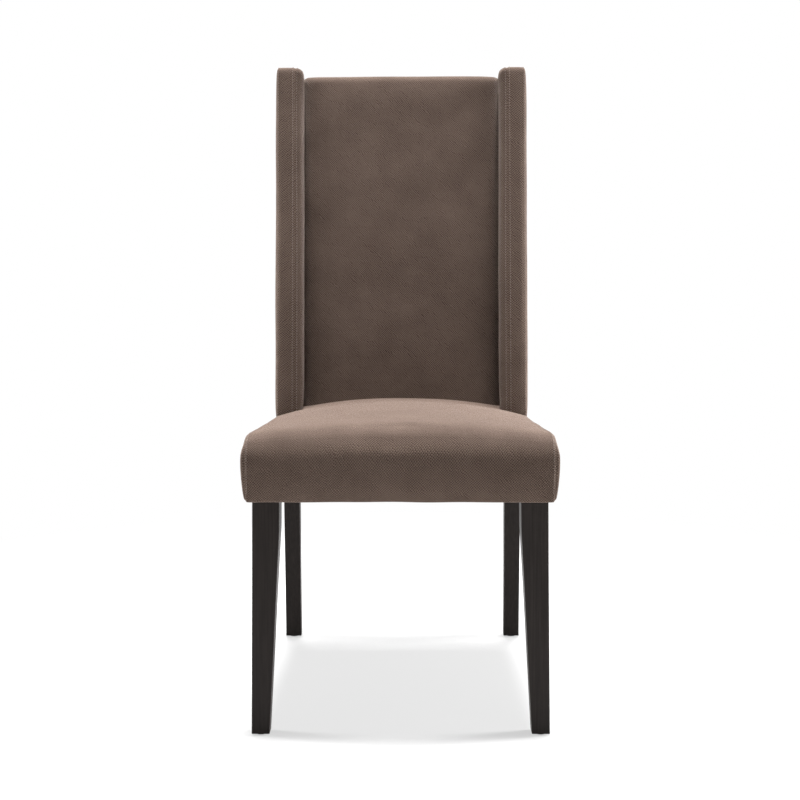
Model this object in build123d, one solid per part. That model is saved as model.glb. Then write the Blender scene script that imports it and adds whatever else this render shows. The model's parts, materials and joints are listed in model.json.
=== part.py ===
from build123d import *
import math
import os

# An upholstered dining chair with a high back and side wings. Lengths are in millimetres.
# X runs to the sitter's left as seen from the front, Y runs to the rear and Z is up.
# The origin is on the floor, under the middle of the chair.

# Fabrics, paddings and the small gaps that keep the layers apart
fabric = 2.0
layer_gap = 0.3
seam_gap = 0.4
turn_under = 30.0
dust_cloth = 1.0
overrun = 60.0

# Seat frame
seat_bottom = 375.0
rail_height = 70.0
rail_thickness = 22.0
rear_rail_setback = 3.0
block_leg = 60.0
block_drop = 10.0
tenon = 10.0
tenon_length = 18.0
tenon_shoulder = 9.0
joint_gap = 0.1

# Seat padding and the form of its cover
edge_foam = 33.0
crown_rise = 17.0
crown_drop = 31.0
back_rise = 3.0
back_drop = 25.0
seat_depth = 485.0
front_bulge = 7.0
front_roll = 30.0
seat_front_width = 482.8
side_bulge = 12.0
side_low_bulge = 2.9
side_low_rear = 6.6
rear_seam_inset = 5.5
seat_corner_radius = 14.0
bulge_height_share = 0.638
crown_place_share = 0.526
section_shares = (-1.03, 0, 1.03)

# Front legs
leg_setback = 5.0
leg_inset = 10.4
leg_top_width = 42.8
leg_foot_width = 28.6
leg_splay = 5.6
leg_straight = 45.0
leg_edge = 2.0

# Rear legs, each one piece with the post of the back
post_width = 30.0
post_depth = 28.0
rear_splay = 4.8
rear_sweep = 72.0
rear_foot_depth = 29.0
knee_drop = 3.0
knee_radius = 260.0
rake_start_rise = 13.0
rake_radius = 150.0

# Back, in its own raked frame: v is the distance behind the front of the pad and u goes up the back
rake = 8.5
pad_front_y = 167.5
back_width = 457.0
back_height = 617.5
back_depth = 57.0
wing_reach = 90.0
wing_thickness = 44.0
wing_flare = 5.0
wing_corner = 6.0
wing_top_corner = 12.0
wing_foot_dip = 6.0
wing_board = 15.0
band_edge = 6.0
band_width = 29.5
tongue = 5.0
tongue_depth = 6.0
pad_foam = 20.0
pad_below_wings = 6.0
pad_crown = 2.5
pad_edge = 12.0
pad_bow = 5.0
pad_gap = 1.0
back_rail_width = 50.0
back_rail_thickness = 22.0
back_rail_rise = 20.0
back_board_thickness = 1.5

# Webbing
strap_width = 50.0
strap = 1.2
strap_pitch = 110.0
strap_margin = 8.0

# Fastenings and feet
bolt_radius = 4.0
bolt_in_leg = 24.0
bolt_stand = 9.0
washer_radius = 10.0
washer = 1.6
nut_radius = 7.5
nut = 6.0
screw_radius = 2.2
screw_head_radius = 4.4
screw_head = 3.0
screw_bite = 15.0
fastening_gap = 0.1
fastening_height_share = 0.5
glide_radius = 10.0
glide = 2.5
glide_edge = 0.6

# Heights that follow from the ones above
rail_bottom = seat_bottom + fabric
rail_top = rail_bottom + rail_height
webbing_top = rail_top + 2 * strap
seat_front_height = rail_top + edge_foam
seat_bulge_height = seat_bottom + bulge_height_share * (seat_front_height - seat_bottom)
seat_lip_height = seat_front_height - front_roll
seat_crown_height = seat_front_height + crown_rise
seat_back_height = seat_front_height + back_rise
knee_height = seat_bottom - knee_drop
leg_taper_start = seat_bottom - leg_straight
rake_start_height = rail_top + rake_start_rise
wing_foot_height = seat_back_height - back_drop - wing_foot_dip
wing_top = seat_front_height + back_height
pad_top = wing_top - pad_below_wings

# Depths that follow
seat_front_y = pad_front_y - seat_depth
seat_low_y = seat_front_y + front_bulge
leg_front_y = seat_low_y + leg_setback
leg_rear_y = leg_front_y + leg_top_width
seat_crown_y = seat_front_y + crown_place_share * seat_depth
post_front_v = pad_foam + fabric + 2 * layer_gap + 2 * strap
board_v = post_front_v + post_depth

# Half widths that follow
back_half = back_width / 2
post_half = back_half - fabric - layer_gap
post_inner_half = post_half - post_width
leg_top_half = seat_front_width / 2 - leg_inset
leg_inner_half = leg_top_half - leg_top_width
leg_foot_half = leg_top_half + leg_splay
rear_foot_half = post_half + rear_splay
band_outer_half = back_half - band_edge
band_inner_half = band_outer_half - band_width
wing_root_half = back_half - wing_thickness
wing_nose_half = wing_root_half + wing_flare
back_frame = Pos(0, pad_front_y, seat_front_height) * Rot(-rake, 0, 0)


def tangent_of(degrees):
    return math.tan(math.radians(degrees))


def back_point(v, u):
    """The Y and Z of a place in the raked frame of the back."""
    place = back_frame * Pos(0, v, u)
    return place.position.Y, place.position.Z


def raked_line_at(v, height):
    """The Y of the raked plane v at a height above the floor."""
    low_y, low_z = back_point(v, 0)
    return low_y + (height - low_z) * tangent_of(rake)


def up_back(v, height):
    """How far up the back, in the raked plane v, a height above the floor lies."""
    low_z = back_point(v, 0)[1]
    return (height - low_z) / math.cos(math.radians(rake))


post_front_y = raked_line_at(post_front_v, rake_start_height)
post_rear_y = post_front_y + post_depth
back_face_y = raked_line_at(back_depth, rake_start_height)
seat_rear_y = back_face_y - fabric - 2 * layer_gap
rear_rail_y = post_front_y + rear_rail_setback
back_rail_top = up_back(post_front_v, pad_top - pad_crown - fabric - layer_gap)


def side_extrusion(outline, half_width):
    """A solid whose outline is drawn in Y and Z, from -half_width to half_width in X."""
    return extrude(Plane.YZ * outline, half_width, both=True)


def front_extrusion(outline, low_y, high_y):
    """A solid whose outline is drawn in X and Z, from low_y to high_y."""
    return Pos(0, high_y, 0) * extrude(Plane.XZ * outline, high_y - low_y)


def block(low, high):
    """A box between two opposite corners."""
    size = [b - a for a, b in zip(low, high)]
    return Pos(*low) * Box(*size, align=(Align.MIN, Align.MIN, Align.MIN))


def rod(start, direction, radius, length):
    """A round bar from a start point along a direction."""
    plane = Plane(origin=start, z_dir=direction)
    return extrude(plane * Circle(radius), length)


def mirrored(shape):
    return mirror(shape, about=Plane.YZ)


def both_sides(pieces):
    return list(pieces) + [mirrored(piece) for piece in pieces]


def largest(shape):
    return max(shape.solids(), key=lambda solid: solid.volume)


def front_profile(inset):
    """The seat's drawn-in front and its rolled top edge, seen from the side."""
    bulge_y = seat_front_y + inset
    low = (seat_low_y + inset, seat_bottom + inset)
    lip = (seat_front_y + inset + front_bulge / 4, seat_lip_height)
    roll_end = (lip[0] + front_roll - inset, seat_front_height - inset)
    turn_share = 1 - math.sqrt(1 / 2)
    mid_roll = (
        lip[0] + (roll_end[0] - lip[0]) * turn_share,
        roll_end[1] - (roll_end[1] - lip[1]) * turn_share,
    )
    with BuildSketch() as sketch:
        with BuildLine():
            Line((roll_end[0], low[1]), low)
            ThreePointArc(low, (bulge_y, seat_bulge_height), lip)
            ThreePointArc(lip, mid_roll, roll_end)
            Line(roll_end, (roll_end[0], low[1]))
        make_face()
    return sketch.sketch, roll_end


def crown_profile(share, inset, start):
    """The seat's side outline behind its rolled edge, where the crown has dropped by the share's square."""
    drop = share * share
    crown = seat_crown_height - crown_drop * drop - inset
    rear = (seat_rear_y - inset, seat_back_height - back_drop * drop - inset)
    with BuildSketch() as sketch:
        with BuildLine():
            ThreePointArc(start, (seat_crown_y, crown), rear)
            Polyline(rear, (rear[0], seat_bottom + inset), (start[0], seat_bottom + inset), start)
        make_face()
    return sketch.sketch


def seat_side_section(low_half, bulge_half, seam_half, inset):
    """The seat's drawn-in sides, seen from the front."""
    top = seat_crown_height + overrun
    seam_z = seat_front_height
    low = seat_bottom - overrun
    with BuildSketch() as sketch:
        with BuildLine():
            right = [
                (low_half - inset, seat_bottom),
                (bulge_half - inset, seat_bulge_height),
                (seam_half - inset, seam_z),
            ]
            left = [(-x, z) for x, z in right]
            ThreePointArc(*right)
            Polyline(right[2], (right[2][0], top), (left[2][0], top), left[2])
            ThreePointArc(*left[::-1])
            Polyline(left[0], (left[0][0], low), (right[0][0], low), right[0])
        make_face()
    return sketch.sketch


def seat_half_at(front_half, rear_half, y):
    """A half width of the seat at a depth, between its front and its rear."""
    share = (y - seat_front_y) / (seat_rear_y - seat_front_y)
    return front_half + (rear_half - front_half) * share


def seam_half_at(y):
    """The half width of the seat at its side seams, at a depth."""
    return seat_half_at(seat_front_width / 2, back_half - rear_seam_inset, y)


def seat_form(inset):
    """The whole upholstered seat, with every face moved in by the inset."""
    front_outline, roll_end = front_profile(inset)
    half = seat_front_width / 2 + side_bulge
    crowned = loft([
        Plane.YZ.offset(share * half) * crown_profile(share, inset, roll_end)
        for share in section_shares
    ])
    crowned = crowned + side_extrusion(front_outline, half * max(section_shares))
    front = seat_front_y + inset
    rear = seat_rear_y + overrun
    ends = []
    for y in (front - overrun, rear):
        seam = seam_half_at(y)
        low = seam + seat_half_at(side_low_bulge, side_low_rear, y)
        section = seat_side_section(low, seam + side_bulge, seam, inset)
        ends.append(Pos(0, y, 0) * (Plane.XZ * section))
    sides = loft(ends, ruled=True)
    front_half = seam_half_at(front) + side_bulge - inset
    rear_half = seam_half_at(rear) + side_bulge - inset
    outline = make_face(Polyline(
        (-rear_half, rear), (-front_half, front), (front_half, front), (rear_half, rear), close=True
    ))
    outline = fillet(outline.vertices().sort_by(Axis.Y)[:2], seat_corner_radius - inset)
    plan = extrude(outline, seat_crown_height + overrun)
    return largest(crowned & sides & plan)


def wing_section(inset):
    """The wing on the +X side, seen along the back: outer face, front band and slanted inner face."""
    front = -wing_reach + inset
    outer = back_half - inset
    rear = back_depth - fabric - inset
    root = wing_root_half + inset
    nose = wing_nose_half + inset
    outline = make_face(Polyline(
        (outer, rear), (outer, front), (nose, front), (root, 0), (root, rear), close=True
    ))
    return fillet(outline.vertices().sort_by(Axis.Y)[:2], wing_corner - inset)


def wing_outline(inset, rear_v):
    """The wing seen from the side: a raked front edge and a level top with a rounded corner."""
    front = -wing_reach + inset
    top = wing_top - inset
    low = -2 * overrun
    outline = make_face(Polyline(
        back_point(front, low), (raked_line_at(front, top), top), (raked_line_at(rear_v, top), top),
        back_point(rear_v, low), close=True,
    ))
    corner = outline.vertices().sort_by_distance((raked_line_at(front, top), top, 0))[0]
    return fillet(corner, wing_top_corner - inset)


def wing_form(inset):
    """The whole wing on the +X side."""
    bar = Pos(0, 0, -overrun) * extrude(wing_section(inset), wing_top)
    return (back_frame * bar) & side_extrusion(wing_outline(inset, back_depth + overrun), back_half)


def under_crown(top):
    """All that lies below the slightly crowned top line of the back, between the wings."""
    half = wing_root_half
    low = seat_bottom
    with BuildSketch() as crown:
        with BuildLine():
            ThreePointArc((-half, top - pad_crown), (0, top), (half, top - pad_crown))
            Polyline((half, top - pad_crown), (half, low), (-half, low), (-half, top - pad_crown))
        make_face()
    return front_extrusion(crown.sketch, 0, raked_line_at(back_depth, wing_top) + overrun)


def pad_form(inset):
    """The back pad, with rounded sides, a slightly bowed front and a rolled top edge."""
    half = wing_root_half - pad_gap - inset
    rear = pad_foam + fabric + layer_gap
    shoulder = half - pad_edge
    mid = half - pad_edge / 3
    with BuildSketch() as sketch:
        with BuildLine():
            ThreePointArc((-half, pad_edge), (-mid, inset + pad_edge / 3), (-shoulder, inset))
            ThreePointArc((-shoulder, inset), (0, inset - pad_bow), (shoulder, inset))
            ThreePointArc((shoulder, inset), (mid, inset + pad_edge / 3), (half, pad_edge))
            Polyline((half, pad_edge), (half, rear), (-half, rear), (-half, pad_edge))
        make_face()
    bar = back_frame * (Pos(0, 0, -overrun) * extrude(sketch.sketch, wing_top))
    top = pad_top - inset
    front = inset - pad_bow
    low = -2 * overrun
    roll = make_face(Polyline(
        back_point(front, low), (raked_line_at(front, top), top),
        (raked_line_at(back_depth, top), top), back_point(back_depth, low), close=True,
    ))
    corner = roll.vertices().sort_by_distance((raked_line_at(front, top), top, 0))[0]
    roll = fillet(corner, pad_edge)
    return bar & under_crown(top) & side_extrusion(roll, back_half)


def leg_slice(height, width, outer_half):
    """A level section of the front leg, with its outer and front faces in place."""
    place = Pos(outer_half - width / 2, leg_front_y + width / 2, height)
    return place * RectangleRounded(width, width, leg_edge)


def front_leg_shape():
    """The front leg on the +X side: straight at the top, then tapering on its inner faces."""
    splay = (leg_foot_half - leg_top_half) / seat_bottom
    return loft([
        leg_slice(glide, leg_foot_width, leg_foot_half),
        leg_slice(leg_taper_start, leg_top_width, leg_top_half + splay * (seat_bottom - leg_taper_start)),
        leg_slice(seat_bottom, leg_top_width, leg_top_half),
        leg_slice(rail_top, leg_top_width, leg_top_half),
    ], ruled=True)


def rear_leg_shape():
    """The rear leg and back post on the +X side, swept back below the seat and raked above it."""
    lean = math.degrees(math.atan(rear_sweep / knee_height))
    foot_y = post_front_y + rear_sweep
    top = wing_top - 2 * fabric - layer_gap
    rear_knee = knee_height + post_depth * tangent_of(lean / 2)
    rear_rake = rake_start_height - post_depth * tangent_of(rake / 2)
    side_view = make_face(Polyline(
        (foot_y, glide), (post_front_y, knee_height), (post_front_y, rake_start_height),
        (raked_line_at(post_front_v, top), top), (raked_line_at(board_v, top), top),
        (post_rear_y, rear_rake), (post_rear_y, rear_knee), (foot_y + rear_foot_depth, glide),
        close=True,
    ))
    bends = (
        ((post_front_y, knee_height), knee_radius), ((post_rear_y, rear_knee), knee_radius),
        ((post_front_y, rake_start_height), rake_radius), ((post_rear_y, rear_rake), rake_radius),
    )
    for (y, z), radius in bends:
        side_view = fillet(side_view.vertices().sort_by_distance((y, z, 0))[0], radius)
    front_view = make_face(Polyline(
        (rear_foot_half, glide), (post_half, knee_height), (post_half, wing_top),
        (post_inner_half, wing_top), (post_inner_half, knee_height),
        (rear_foot_half - post_width, glide), close=True,
    ))
    leg = front_extrusion(front_view, post_front_y - overrun, raked_line_at(board_v, wing_top) + overrun)
    return leg & side_extrusion(side_view, rear_foot_half)


def rail_face_x(y):
    """The X of the inner face of the side rail on the +X side, at a depth."""
    share = (y - leg_rear_y) / (post_front_y - leg_rear_y)
    return leg_top_half + (post_half - leg_top_half) * share - rail_thickness


def side_rail_shape():
    """The seat rail on the +X side, between the front leg and the post, without its tenons."""
    outline = make_face(Polyline(
        (leg_top_half, leg_rear_y), (post_half, post_front_y),
        (rail_face_x(post_front_y), post_front_y), (rail_face_x(leg_rear_y), leg_rear_y), close=True,
    ))
    return Pos(0, 0, rail_bottom) * extrude(outline, rail_height)


def tenon_block(low, high, gap):
    """A tenon between two corners in plan, or with a gap the mortise for it."""
    return block(
        (low[0] - gap, low[1] - gap, rail_bottom + tenon_shoulder - gap),
        (high[0] + gap, high[1] + gap, rail_top - tenon_shoulder + gap),
    )


def seat_tenons(gap):
    """The tenons at the rail ends on the +X side: front rail, side rail's front and rear, rear rail."""
    front_y = leg_front_y + (rail_thickness - tenon) / 2
    side_x = leg_top_half - (rail_thickness + tenon) / 2
    rear_x = post_half - (rail_thickness + tenon) / 2
    rear_y = rear_rail_y + (rail_thickness - tenon) / 2
    # the side rail's tenons are as long as the front and rear rails' leave room for
    side_front = (leg_top_width - front_y + leg_front_y - tenon) / 2
    side_rear = (rear_y - post_front_y) / 2
    return (
        tenon_block((leg_inner_half, front_y), (leg_inner_half + tenon_length, front_y + tenon), gap),
        tenon_block((side_x, leg_rear_y - side_front), (side_x + tenon, leg_rear_y), gap),
        tenon_block((rear_x, post_front_y), (rear_x + tenon, post_front_y + side_rear), gap),
        tenon_block((post_inner_half, rear_y), (post_inner_half + tenon_length, rear_y + tenon), gap),
    )


def block_face():
    """The ends, in plan, of the slanted face of the front corner block on the +X side."""
    front_end = (leg_inner_half - block_leg, leg_front_y + rail_thickness)
    rear_y = leg_rear_y + block_leg
    rear_end = (rail_face_x(rear_y) - layer_gap, rear_y)
    return Vector(*front_end), Vector(*rear_end)


def front_corner_block():
    """The block behind the front leg on the +X side, notched round the leg."""
    front_end, rear_end = block_face()
    outline = make_face(Polyline(
        (leg_inner_half, front_end.Y), (front_end.X, front_end.Y), (rear_end.X, rear_end.Y),
        (rail_face_x(leg_rear_y) - layer_gap, leg_rear_y), (leg_inner_half, leg_rear_y), close=True,
    ))
    return Pos(0, 0, rail_bottom) * extrude(outline, rail_height - block_drop)


def rear_corner_block():
    """The block in front of the rear rail on the +X side, notched round the post."""
    front_y = post_front_y - block_leg
    outline = make_face(Polyline(
        (post_inner_half, rear_rail_y), (post_inner_half - block_leg, rear_rail_y),
        (rail_face_x(front_y) - layer_gap, front_y), (rail_face_x(post_front_y) - layer_gap, post_front_y),
        (post_inner_half, post_front_y), close=True,
    ))
    return Pos(0, 0, rail_bottom) * extrude(outline, rail_height - block_drop)


def fastening_height():
    return rail_bottom + fastening_height_share * (rail_height - block_drop)


def leg_bolt(grow):
    """The hanger bolt of the front corner on the +X side with its washer and nut, or its hole."""
    front_end, rear_end = block_face()
    inward = (rear_end - front_end).cross(Vector(0, 0, -1)).normalized()
    corner = Vector(leg_inner_half, leg_rear_y, fastening_height())
    reach = (front_end - Vector(leg_inner_half, leg_rear_y)).dot(inward)
    seat = corner + inward * (reach + layer_gap)
    length = bolt_in_leg + reach + washer + nut + bolt_stand
    bolt = rod(corner - inward * bolt_in_leg, inward, bolt_radius + grow, length)
    if grow:
        return bolt
    nut_place = Plane(origin=seat + inward * washer, z_dir=inward)
    hexagon = extrude(nut_place * RegularPolygon(nut_radius, 6), nut)
    return bolt + rod(seat, inward, washer_radius, washer) + hexagon


def block_screws(grow):
    """The screws that hold the rear corner block on the +X side to its rails, or their holes."""
    half_leg = block_leg / 2
    places = (
        ((post_inner_half - half_leg, rear_rail_y), Vector(0, 1, 0)),
        ((rail_face_x(post_front_y - half_leg), post_front_y - half_leg), Vector(1, 0, 0)),
    )
    in_block = half_leg / 2
    pieces = []
    for (x, y), way in places:
        start = Vector(x, y, fastening_height()) - way * in_block
        shank = rod(start, way, screw_radius + grow, in_block + screw_bite)
        head_length = screw_head + (overrun if grow else 0)
        head = rod(start - way * head_length, way, screw_head_radius + grow, head_length)
        pieces.append(shank + head)
    return pieces


def back_rail_spans():
    """The lower and upper edge of each back rail, up the back."""
    return (
        (back_rail_rise, back_rail_rise + back_rail_width),
        (back_rail_top - back_rail_width, back_rail_top),
    )


def back_tenons(gap):
    """The tenons at the back rails' ends on the +X side, or with a gap their mortises."""
    low_v = post_front_v + (back_rail_thickness - tenon) / 2
    pieces = []
    for low, high in back_rail_spans():
        pieces.append(back_frame * block(
            (post_inner_half - gap, low_v - gap, low + tenon_shoulder - gap),
            (post_inner_half + tenon_length + gap, low_v + tenon + gap, high - tenon_shoulder + gap),
        ))
    return pieces


def board_tongue(gap):
    """The tongue along the wing board's rear edge on the +X side, or with a gap the post's groove."""
    middle = post_half - wing_board / 2
    return back_frame * block(
        (middle - tongue / 2 - gap, post_front_v - joint_gap, -gap),
        (middle + tongue / 2 + gap, post_front_v + tongue_depth + gap, back_rail_top + gap),
    )


def cut_all(shape, tools):
    for tool in tools:
        shape = shape - tool
    return shape


def woven(width, depth):
    """Flat straps both ways on the XY plane, the lengthwise ones on top of the crosswise ones."""
    columns = round(width / strap_pitch)
    rows = round(depth / strap_pitch)
    straps = []
    for row in range(rows):
        y = depth * ((row + 1 / 2) / rows - 1 / 2)
        straps.append(Pos(0, y, strap / 2) * Box(width, strap_width, strap))
    for column in range(columns):
        x = width * ((column + 1 / 2) / columns - 1 / 2)
        straps.append(Pos(x, 0, strap * 3 / 2) * Box(strap_width, depth, strap))
    return straps


def seat_webbing():
    """The straps on top of the seat rails."""
    half = post_half - post_width / 2
    front = leg_front_y + strap_margin
    rear = post_front_y - strap_margin
    middle = (front + rear) / 2
    straps = woven(2 * half, rear - front)
    return [Pos(0, middle, rail_top) * s for s in straps]


def back_webbing():
    """The straps in front of the back rails and posts."""
    low = back_rail_rise + strap_margin
    high = back_rail_top - strap_margin
    width = 2 * (post_half - wing_board - strap_margin)
    straps = woven(width, high - low)
    place = Pos(0, post_front_v, (low + high) / 2) * Rot(90, 0, 0)
    return [back_frame * (place * s) for s in straps]


def wing_board_shape(shift):
    """The plywood panel inside the wing on the +X side, standing on the side rail."""
    inset = fabric + layer_gap
    board = side_extrusion(wing_outline(inset, post_front_v), post_half) & wing_form(inset)
    return board & block(
        (post_half - wing_board - shift, leg_front_y, rail_top + layer_gap),
        (post_half, seat_depth, wing_top),
    )


def wing_foam_shape(seat_top):
    """The padding on the inner side of the wing board on the +X side."""
    keep = back_frame * block(
        (0, -wing_reach, -overrun),
        (post_half - wing_board - layer_gap, post_front_v - 2 * strap - layer_gap, wing_top),
    )
    return largest((wing_form(fabric + layer_gap) & keep) - seat_top)


def wing_covers(seat_top):
    """The fabric of the wing on the +X side, cut along its two seams."""
    far = wing_top + overrun
    open_rear = back_frame * block(
        (wing_root_half + fabric, 0, -overrun),
        (back_half - fabric, back_depth + overrun, up_back(back_depth, wing_top - fabric)),
    )
    open_rear = open_rear & block((0, 0, 0), (back_half, far, wing_top - fabric))
    shell = (wing_form(0) - wing_form(fabric)) - open_rear
    above_foot = block((0, leg_front_y, wing_foot_height), (back_half, far, far))
    shell = (shell & above_foot) - seat_top

    def slice_between(low, high, rear):
        keep = back_frame * block((low, -wing_reach - overrun, -overrun), (high, rear, far))
        return shell & keep

    rear = back_depth + overrun
    inner_side = band_inner_half - seam_gap / 2
    inner = slice_between(0, inner_side, post_front_v - 2 * strap - layer_gap)
    above_rail = back_frame * block(
        (0, 0, back_rail_top + layer_gap), (inner_side, back_depth - fabric, far)
    )
    inner = inner + (shell & above_rail)
    band = slice_between(band_inner_half + seam_gap / 2, band_outer_half - seam_gap / 2, rear)
    outer = slice_between(band_outer_half + seam_gap / 2, back_half + overrun, rear)
    return largest(inner), largest(band), largest(outer)


def outside_back_profile(low_v, high_v):
    """A sheet behind the back: raked above the seat, then straight down to its bottom edge."""
    low_y = raked_line_at(low_v, rake_start_height)
    high_y = raked_line_at(high_v, rake_start_height)
    return make_face(Polyline(
        (low_y, seat_bottom), (low_y, rake_start_height), (raked_line_at(low_v, wing_top), wing_top),
        (raked_line_at(high_v, wing_top), wing_top), (high_y, rake_start_height),
        (high_y, seat_bottom), close=True,
    ))


def write(name, solids):
    """Writes one node, made of one solid or a group of separate ones."""
    flat = []
    for item in solids if isinstance(solids, (list, tuple)) else [solids]:
        flat.extend(item.solids())
    export_step(flat[0] if len(flat) == 1 else Compound(children=flat), f"parts/{name}.step")


def write_pair(name, right):
    """Writes a node for each side of the chair from the one on the +X side."""
    pieces = right if isinstance(right, (list, tuple)) else [right]
    write(f"{name}_right", pieces)
    write(f"{name}_left", [mirrored(piece) for piece in pieces])


# The forms that the others are cut against
outer_form = seat_form(0)
inner_form = seat_form(fabric)
foam_form = seat_form(fabric + layer_gap)
seat_clear = seat_form(-layer_gap)

# Fastenings, and the slightly larger holes for them
bolt = leg_bolt(0)
screws = block_screws(0)
bolt_hole = leg_bolt(fastening_gap)
screw_holes = block_screws(fastening_gap)
tenons = seat_tenons(0)
mortises = seat_tenons(joint_gap)

# Legs, rails and blocks
front_leg = cut_all(front_leg_shape(), [bolt_hole, *mortises[:2]])
rear_leg = cut_all(rear_leg_shape(), [*mortises[2:], *back_tenons(joint_gap), board_tongue(joint_gap)])
side_rail = cut_all(side_rail_shape() + tenons[1] + tenons[2], screw_holes)
front_rail = block(
    (-leg_inner_half, leg_front_y, rail_bottom),
    (leg_inner_half, leg_front_y + rail_thickness, rail_top),
)
front_rail = front_rail + tenons[0] + mirrored(tenons[0])
rear_rail = block(
    (-post_inner_half, rear_rail_y, rail_bottom),
    (post_inner_half, rear_rail_y + rail_thickness, rail_top),
)
rear_rail = cut_all(rear_rail + tenons[3] + mirrored(tenons[3]), both_sides(screw_holes))
front_block = front_corner_block() - bolt_hole
rear_block = cut_all(rear_corner_block(), screw_holes)

write_pair("front_leg", front_leg)
write_pair("rear_leg", rear_leg)
write_pair("side_rail", side_rail)
write("front_rail", front_rail)
write("rear_rail", rear_rail)
write_pair("front_corner_block", front_block)
write_pair("rear_corner_block", rear_block)
write("leg_bolts", both_sides([bolt]))
write("block_screws", both_sides(screws))

# Back rails with their tenons
for name, (low, high), rail_tenon in zip(
    ("back_rail_lower", "back_rail_upper"), back_rail_spans(), back_tenons(0)
):
    rail = back_frame * block(
        (-post_inner_half, post_front_v, low),
        (post_inner_half, post_front_v + back_rail_thickness, high),
    )
    write(name, rail + rail_tenon + mirrored(rail_tenon))

# Wing boards and their padding
wing_panel = largest((wing_board_shape(0) - rear_leg_shape()) + board_tongue(0))
write_pair("wing_board", wing_panel)
write_pair("wing_foam", wing_foam_shape(seat_clear))

# Webbing
write("seat_webbing", seat_webbing())
write("back_webbing", back_webbing())

# Seat padding: a slab on the webbing, and strips on the outside of the rails below it
frame_right = [
    (leg_top_half + layer_gap, leg_front_y - layer_gap),
    (leg_top_half + layer_gap, leg_rear_y),
    (post_half + layer_gap, post_front_y),
    (post_half + layer_gap, back_face_y + overrun),
]
frame_space = make_face(Polyline(*frame_right, *[(-x, y) for x, y in frame_right[::-1]], close=True))
frame_space = extrude(frame_space, webbing_top + layer_gap)
board_space = back_frame * block(
    (post_half - wing_board - layer_gap, -wing_reach, -2 * overrun),
    (back_half + overrun, post_front_v, wing_top),
)


def post_space(outer_half, top):
    """The room for a rear post on the +X side, out to a half width and up to a height."""
    return block(
        (post_inner_half - layer_gap, post_front_y - layer_gap, 0),
        (outer_half, back_face_y + overrun, top),
    )


uprights = both_sides([board_space, post_space(back_half + overrun, wing_top)])
padding = cut_all(foam_form - frame_space, uprights)


def layer(low_y, low_z, high_y, high_z):
    """The space between two depths and two heights, over the chair's whole width."""
    return block((-seat_front_width, low_y, low_z), (seat_front_width, high_y, high_z))


slab_bottom = webbing_top + layer_gap
rear_end = seat_rear_y + overrun
write("seat_foam", largest(padding & layer(seat_front_y, slab_bottom, rear_end, wing_top)))
strips = padding & layer(seat_front_y, 0, rear_end, slab_bottom - layer_gap)
strip_end = leg_front_y - layer_gap
write("front_foam_strip", largest(strips & layer(seat_front_y, 0, strip_end, slab_bottom)))
side_strips = (strips & layer(leg_front_y, 0, rear_end, slab_bottom)).solids().sort_by(Axis.X)
write("side_foam_strip_left", side_strips[0])
write("side_foam_strip_right", side_strips[-1])

# Seat fabric: a cover over the top and front, and a panel on each side
bottom_opening = block(
    (-(post_half - turn_under), leg_front_y + turn_under, 0),
    (post_half - turn_under, post_front_y - turn_under, rail_bottom + layer_gap),
)
front_leg_hole = block(
    (leg_inner_half - layer_gap, leg_front_y - layer_gap, 0),
    (leg_top_half + layer_gap, leg_rear_y + layer_gap, rail_bottom + layer_gap),
)
cuts = [front_leg_hole, wing_board_shape(layer_gap), post_space(post_half + layer_gap, wing_top)]
shell = cut_all(outer_form - inner_form, [bottom_opening] + both_sides(cuts))


def seam_wedge(shift):
    """The space between the two side seams, moved out by the shift."""
    front = seat_front_y - overrun
    rear = seat_rear_y + overrun
    front_x = seam_half_at(front) + shift
    rear_x = seam_half_at(rear) + shift
    outline = make_face(Polyline(
        (-front_x, front), (front_x, front), (rear_x, rear), (-rear_x, rear), close=True
    ))
    return extrude(outline, seat_crown_height + overrun)


write("seat_cover", largest(shell & seam_wedge(-seam_gap / 2)))
right_half = block((0, -seat_depth, 0), (seat_front_width, seat_depth, wing_top))
write_pair("seat_side_panel", largest((shell - seam_wedge(seam_gap / 2)) & right_half))

# Dust cloth under the seat, notched round the four legs
dust_half = post_half - turn_under / 2
dust_right = [
    (leg_inner_half - layer_gap, leg_front_y + turn_under / 2),
    (leg_inner_half - layer_gap, leg_rear_y + layer_gap),
    (dust_half, leg_rear_y + layer_gap),
    (dust_half, post_front_y - layer_gap),
    (post_inner_half - layer_gap, post_front_y - layer_gap),
    (post_inner_half - layer_gap, seat_rear_y),
]
dust = make_face(Polyline(*dust_right, *[(-x, y) for x, y in dust_right[::-1]], close=True))
write("dust_cloth", Pos(0, 0, seat_bottom - dust_cloth) * extrude(dust, dust_cloth))

# Back pad and its cover, which turns over the top to the rear
write("back_pad_foam", largest(pad_form(fabric + layer_gap) - seat_clear))
top_flap = back_frame * block(
    (-(wing_root_half - pad_gap), pad_edge, -overrun),
    (wing_root_half - pad_gap, back_depth - fabric - layer_gap, wing_top),
)
top_flap = top_flap & (under_crown(pad_top) - under_crown(pad_top - fabric))
pad_cover = (pad_form(0) - seat_clear) - pad_form(fabric)
write("inside_back_cover", largest(pad_cover + top_flap))

# Wing fabric
inner_cover, front_band, outer_cover = wing_covers(seat_clear)
write_pair("wing_inner_cover", inner_cover)
write_pair("wing_front_band", front_band)
write_pair("wing_outer_cover", outer_cover)

# Rear of the back, dropping between the wings to the line of the pad's top
back_board = back_frame * block(
    (-post_half, board_v, 0), (post_half, board_v + back_board_thickness, back_rail_top)
)
write("back_board", back_board & block(
    (-post_half, 0, 0), (post_half, seat_depth, pad_top - pad_crown - fabric - layer_gap)
))
outside = side_extrusion(outside_back_profile(back_depth - fabric, back_depth), back_half)
between_wings = block(
    (-wing_root_half, 0, rail_top), (wing_root_half, seat_depth, wing_top + overrun)
)
write("outside_back_cover", outside - (between_wings - under_crown(pad_top)))

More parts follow.
